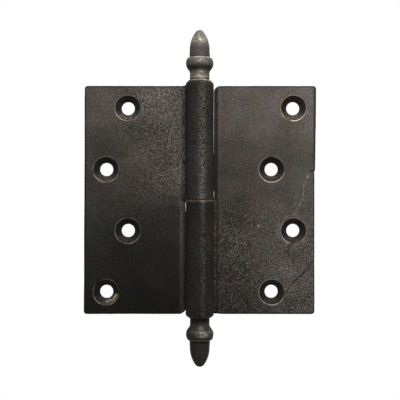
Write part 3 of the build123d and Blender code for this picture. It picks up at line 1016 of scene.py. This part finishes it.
def leaf_iron(name, side, colour, finish, groups):
    """The finish of a leaf: grained and blackened, with rubbed rims, edges and creases, and painted light,
    highlights and shade.
    """
    material, board, shader, place = new_material(name)
    coarse = board.attribute("coarse")
    black, seed = finish.black_skin, 0.31 * side
    skin, grain, tone = iron_skin(board, place, groups, finish, black, colour, seed, LEAF_GRAINS, coarse)
    skin = board.blend(board.attribute("rusted") * 0.8, skin, board.scale(finish.rust, tone))
    breakup = board.noise(place, 650.0, 2.0, 0.5)
    arcs = board.noise(place, 210.0, 2.0, 0.6)
    depth = board.add("ShaderNodeSeparateXYZ", {"Vector": place})["Y"]
    front = 1.0 - board.rise(depth, *FRONT_END)
    arcs = board.rise(arcs, 0.3, 0.52) * front
    rim_wear_and_highlight, insides, lower_wall_light, bore_shade = countersinks(board, place, groups["Ring rim"], side, arcs)
    # Wear and painted highlights, broken up, then the rims
    rubs_and_highlights = board.attribute("wear_and_highlight") * board.rise(breakup, 0.35, 0.6)
    rubs_and_highlights = board.most(rubs_and_highlights * 0.6, rim_wear_and_highlight)
    # The countersinks' insides are painted with shade, broken up, and with light on their lower walls
    sink_light_share = 0.12 + lower_wall_light
    browned = 0.1 if side < 0 else 0.4
    lighter = board.blend(browned, board.scale(colour, sink_light_share), board.scale(finish.rust, sink_light_share))
    sink_light_and_shade = board.blend(board.rise(breakup, 0.42, 0.66), lighter, board.scale(colour, 0.16))
    skin = board.blend(insides * front * 0.9, skin, sink_light_and_shade)
    # Painted shade and dirt, darkest down the bores
    dark_shade_and_dirt = board.most(board.attribute("shade_and_dirt_marks") * 0.85, bore_shade)
    skin = board.blend(dark_shade_and_dirt, skin, finish.dark_shade_and_dirt)
    bare = board.blend(board.attribute("rusted"), finish.bare_iron, finish.tan_iron)
    skin = board.blend(rubs_and_highlights, skin, bare)
    rough = 0.62 - grain["Glint"] * 0.2 - rubs_and_highlights * 0.25
    metal = 0.12 + rubs_and_highlights * 0.4
    finish_metal(board, shader, grain, coarse, 0.6 * MM, Base_Color=skin, Roughness=rough, Metallic=metal)
    return material


def tip_iron(name, side, colour, finish, groups):
    """The finish of a turned tip: smoother iron, rubbed bright on its nose and rings, with painted
    highlights and shade.
    """
    material, board, shader, place = new_material(name)
    seed, coarse = 0.7 + 0.2 * side, 0.4
    skin, grain, _ = iron_skin(board, place, groups, finish, colour, colour, seed, TIP_GRAINS, coarse)
    breakup = board.noise(place, 900.0, 2.0, 0.5)
    # Wear and painted highlights on the tip, broken up
    rubs_and_highlights = board.attribute("wear_and_highlight") * board.rise(breakup, 0.3, 0.62) * 0.8
    skin = board.blend(board.attribute("shade_and_dirt_marks") * 0.85, skin, finish.dark_shade_and_dirt)
    skin = board.blend(rubs_and_highlights, skin, finish.tip_bare)
    rough = 0.55 - rubs_and_highlights * 0.15
    metal = 0.15 + rubs_and_highlights * 0.3
    finish_metal(board, shader, grain, coarse, 0.15 * MM, Base_Color=skin, Roughness=rough, Metallic=metal)
    return material


def pin_steel(finish, groups):
    """The pin's finish: browned steel with dark rust pits and a few bright rubs."""
    material, board, shader, place = new_material("Browned pin steel")
    values = {"Vector": place, "Grains a Metre": PIN_GRAINS, "Coarse": 0.8}
    grain = board.group(groups["Sand grain"], values)
    age = board.group(groups["Tarnish"], {"Vector": place, "Seed": 2.3})
    dark, pale = [[share * value for value in finish.pin_steel] for share in (0.7, 1.25)]
    skin = board.blend(age["Tone"], dark, pale)
    skin = board.blend(age["Brown"] * 0.6, skin, PIN_RUST)
    skin = board.scale(skin, grain["Shade"])
    skin = board.blend(board.attribute("wear_and_highlight"), skin, finish.bare_iron)
    rough = 0.28 + age["Brown"] * 0.2
    metal = 0.7 - age["Brown"] * 0.3
    finish_metal(board, shader, grain, 0.5, 0.15 * MM, Base_Color=skin, Roughness=rough, Metallic=metal)
    return material


def finish_groups():
    """The shared effects, built once and found again by each operator."""
    makers = {"Sand grain": sand_grain, "Tarnish": tarnish, "Ring rim": ring_rim}
    return {name: bpy.data.node_groups.get(name) or maker() for name, maker in makers.items()}


def dress(piece, material, node, body):
    """Gives a piece its finish and its place in the frame."""
    piece.data.materials.clear()
    piece.data.materials.append(material)
    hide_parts(node)
    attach(piece, body)


class HINGE_OT_cast_leaves(bpy.types.Operator):
    """Casts the upper and the lower leaf and gives them their blackened, grained skin"""

    bl_idname = "hinge.cast_leaves"
    bl_label = "Cast the leaves"

    def execute(self, context):
        form = context.scene.hinge_casting
        finish = context.scene.hinge_finish
        groups = finish_groups()
        upper = cast_leaf("upper_leaf", "upper_leaf_casting", -1, form)
        iron = leaf_iron("Upper leaf iron", -1, finish.upper_iron, finish, groups)
        dress(upper, iron, "upper_leaf", "upper_half")
        lower = cast_leaf("lower_leaf", "lower_leaf_casting", 1, form)
        iron = leaf_iron("Lower leaf iron", 1, finish.lower_iron, finish, groups)
        dress(lower, iron, "lower_leaf", "lower_half")
        return {"FINISHED"}


class HINGE_OT_turn_tips(bpy.types.Operator):
    """Turns the two acorn tips and seats them on the knuckles' ends"""

    bl_idname = "hinge.turn_tips"
    bl_label = "Turn the acorn tips"

    def execute(self, context):
        form = context.scene.hinge_turning
        finish = context.scene.hinge_finish
        groups = finish_groups()
        upper = turn_tip("upper_acorn_tip", -1, form)
        iron = tip_iron("Upper tip iron", -1, finish.tip_iron, finish, groups)
        dress(upper, iron, "upper_finial", "upper_half")
        lower = turn_tip("lower_acorn_tip", 1, form)
        iron = tip_iron("Lower tip iron", 1, finish.lower_iron, finish, groups)
        dress(lower, iron, "lower_finial", "lower_half")
        return {"FINISHED"}


class HINGE_OT_turn_pin(bpy.types.Operator):
    """Turns the plain pin that the upper leaf lifts off"""

    bl_idname = "hinge.turn_pin"
    bl_label = "Turn the pin"

    def execute(self, context):
        pin = turn_pin(context.scene.hinge_turning)
        dress(pin, pin_steel(context.scene.hinge_finish, finish_groups()), "hinge_pin", "pin")
        return {"FINISHED"}


def show_white(tree, plain_shader, output, share):
    """Shows white, by that share, to the camera, gloss and glass, and the plain shader elsewhere."""
    board = Board(tree)
    path = board.add("ShaderNodeLightPath")
    seen = board.most(path["Is Camera Ray"], path["Is Glossy Ray"])
    seen = board.most(seen, path["Is Transmission Ray"])
    kind = "ShaderNodeBackground" if output.bl_idname == "ShaderNodeOutputWorld" else "ShaderNodeEmission"
    white = board.add(kind, {"Color": (1.0, 1.0, 1.0, 1.0), "Strength": 1.0})[0]
    plain = Wire(board, plain_shader)
    shown = board.add("ShaderNodeMixShader", {0: seen * share, 1: plain, 2: white})[0]
    tree.links.new(shown.socket, output.inputs["Surface"])


def set_world(strength):
    """A plain room, white where it is seen."""
    world = bpy.data.worlds.new("Plain room")
    world.use_nodes = True
    bpy.context.scene.world = world
    nodes = world.node_tree.nodes
    room = nodes["Background"]
    room.inputs["Color"].default_value = (*WARM_WHITE, 1.0)
    room.inputs["Strength"].default_value = strength
    show_white(world.node_tree, room.outputs[0], nodes["World Output"], 1.0)


def add_lamp(name, place, target, size, colour, power):
    """A soft square lamp that looks at a point."""
    data = bpy.data.lights.new(name, "AREA")
    data.size = size
    data.energy = power
    data.color = colour
    lamp = bpy.data.objects.new(name, data)
    lamp.location = place
    lamp.rotation_euler = (Vector(target) - Vector(place)).to_track_quat("-Z", "Y").to_euler()
    bpy.context.scene.collection.objects.link(lamp)


def pale_floor(drop):
    """A plain pale floor below the hinge that keeps its shadow and runs out into the white."""
    mesh = bpy.data.meshes.new("pale_floor")
    sides, reach = 48, 0.3
    fade = (0.06, 0.17)
    angles = [math.tau * index / sides for index in range(sides)]
    corners = [(reach * math.cos(angle), reach * math.sin(angle), -drop) for angle in angles]
    mesh.from_pydata(corners, [], [tuple(range(sides))])
    material, board, shader, place = new_material("Pale floor")
    mottle = board.noise(place, 180.0, 3.0, 0.6)
    feed(board, shader, Base_Color=board.blend(mottle, (0.84, 0.835, 0.82), (0.88, 0.875, 0.86)))
    shader.inputs["Roughness"].default_value = 0.9
    flat = board.vector("MULTIPLY", place, (1.0, 1.0, 0.0))
    away = board.add("ShaderNodeVectorMath", {0: flat}, operation="LENGTH")["Value"]
    tree = material.node_tree
    show_white(tree, shader.outputs[0], tree.nodes["Material Output"], board.rise(away, *fade))
    mesh.materials.append(material)
    new_piece("pale_floor", mesh)


class HINGE_OT_set_stage(bpy.types.Operator):
    """Sets the floor, the room, the lamps and the camera"""

    bl_idname = "hinge.set_stage"
    bl_label = "Set the stage"

    def execute(self, context):
        stage = context.scene.hinge_stage
        scene = context.scene
        scene.view_settings.view_transform = "Standard"
        set_world(stage.room_light)
        pale_floor(stage.floor_drop)
        back_share = 1.6
        powers = (stage.key_power, stage.fill_power, back_share * stage.key_power)
        for lamp, power in zip(LAMPS, powers):
            add_lamp(*lamp, power)
        data = bpy.data.cameras.new("Camera")
        data.lens = data.sensor_width * (stage.camera_distance + FRONT_Y) / stage.view_width
        camera = bpy.data.objects.new("Camera", data)
        centre = (CAD_BOX[0] + CAD_BOX[1]) / 2
        camera.location = (centre.x, -stage.camera_distance, 0.0)
        camera.rotation_euler = (math.pi / 2, 0.0, 0.0)
        scene.collection.objects.link(camera)
        scene.camera = camera
        return {"FINISHED"}


class HINGE_PT_sidebar(bpy.types.Panel):
    """The hinge's pieces and their settings"""

    bl_label = "Butt Hinge"
    bl_idname = "HINGE_PT_sidebar"
    bl_space_type = "VIEW_3D"
    bl_region_type = "UI"
    bl_category = "Butt Hinge"

    def draw(self, context):
        for operator in OPERATORS:
            self.layout.operator(operator.bl_idname)
        for name, (label, _) in SETTINGS.items():
            box = self.layout.box()
            box.label(text=label)
            group = getattr(context.scene, name)
            for prop in group.bl_rna.properties:
                if prop.identifier not in ("rna_type", "name"):
                    box.prop(group, prop.identifier)


SETTINGS = {
    "hinge_casting": ("Casting", CastingForm),
    "hinge_turning": ("Turning", TurnedForm),
    "hinge_finish": ("Finish", IronFinish),
    "hinge_stage": ("Stage", StageSettings),
}
OPERATORS = (HINGE_OT_cast_leaves, HINGE_OT_turn_tips, HINGE_OT_turn_pin, HINGE_OT_set_stage)


def register():
    """Registers the settings, the operators and the panel."""
    for name, (_, group) in SETTINGS.items():
        bpy.utils.register_class(group)
        setattr(bpy.types.Scene, name, PointerProperty(type=group))
    for operator in OPERATORS:
        bpy.utils.register_class(operator)
    bpy.utils.register_class(HINGE_PT_sidebar)


def unregister():
    """Takes them away again."""
    bpy.utils.unregister_class(HINGE_PT_sidebar)
    for operator in reversed(OPERATORS):
        bpy.utils.unregister_class(operator)
    for name, (_, group) in SETTINGS.items():
        delattr(bpy.types.Scene, name)
        bpy.utils.unregister_class(group)


def main():
    """Makes the pieces and the stage."""
    register()
    bpy.ops.hinge.cast_leaves()
    bpy.ops.hinge.turn_tips()
    bpy.ops.hinge.turn_pin()
    bpy.ops.hinge.set_stage()


if __name__ == "__main__":
    main()
